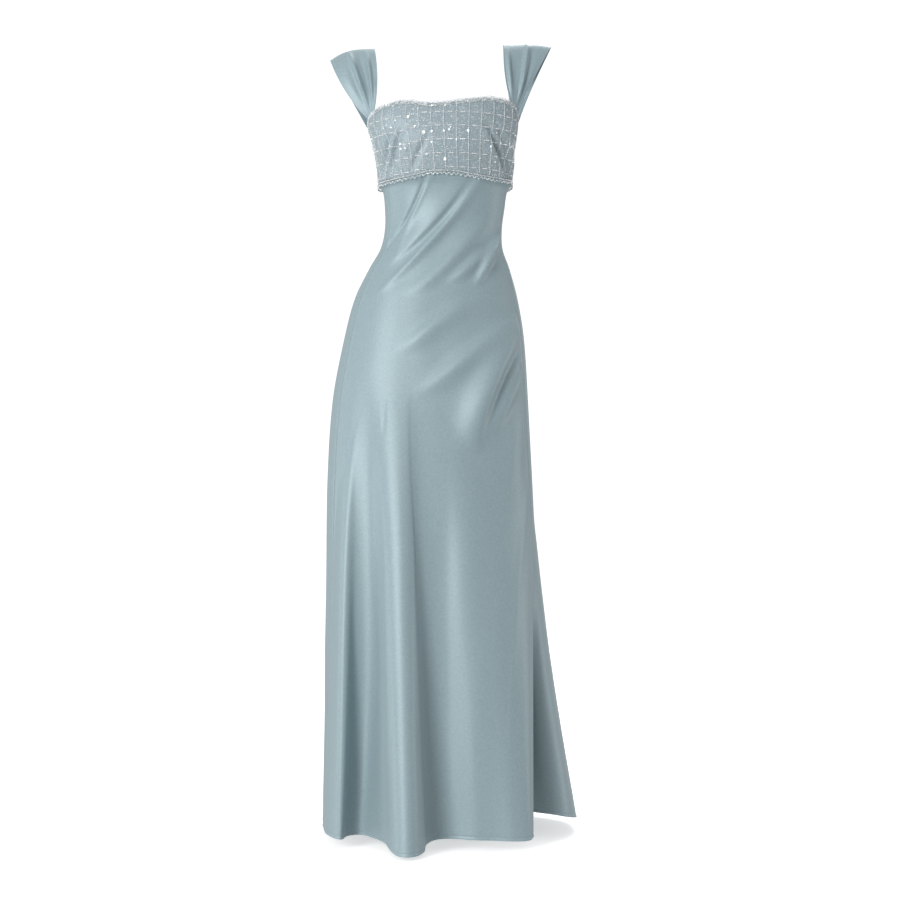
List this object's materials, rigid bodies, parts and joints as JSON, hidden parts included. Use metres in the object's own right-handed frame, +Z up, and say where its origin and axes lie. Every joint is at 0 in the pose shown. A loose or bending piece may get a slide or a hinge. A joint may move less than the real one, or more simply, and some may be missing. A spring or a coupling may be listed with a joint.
{
  "type": "satin gown with beaded bust band",
  "caption": "Full-length bias-cut satin gown, worn and hollow, with a beaded bust band, gathered cap straps and a side slit.",
  "frame": {"origin": "midway between the shoulders that carry the two straps, at the mean height of the straps' undersides", "axes": "+Z up along the body, -Y to the gown's front, +X to the viewer's right, which is the wearer's left"},
  "size_m": [0.4725, 0.4208, 1.4536],
  "materials": {
    "satin": "soft satin, dusty blue",
    "beaded_net": "net over satin, sewn with small silver beads and sequins",
    "bead_edging": "pearl and silver beads"
  },
  "bodies": {
    "root": {"skirt_front": "satin", "skirt_back": "satin", "strap_left": "satin", "strap_right": "satin", "band_front": "beaded_net", "band_back": "beaded_net", "trim_top_front": "bead_edging", "trim_top_back": "bead_edging", "trim_under_front": "bead_edging", "trim_under_back": "bead_edging"}
  },
  "joints": []
}
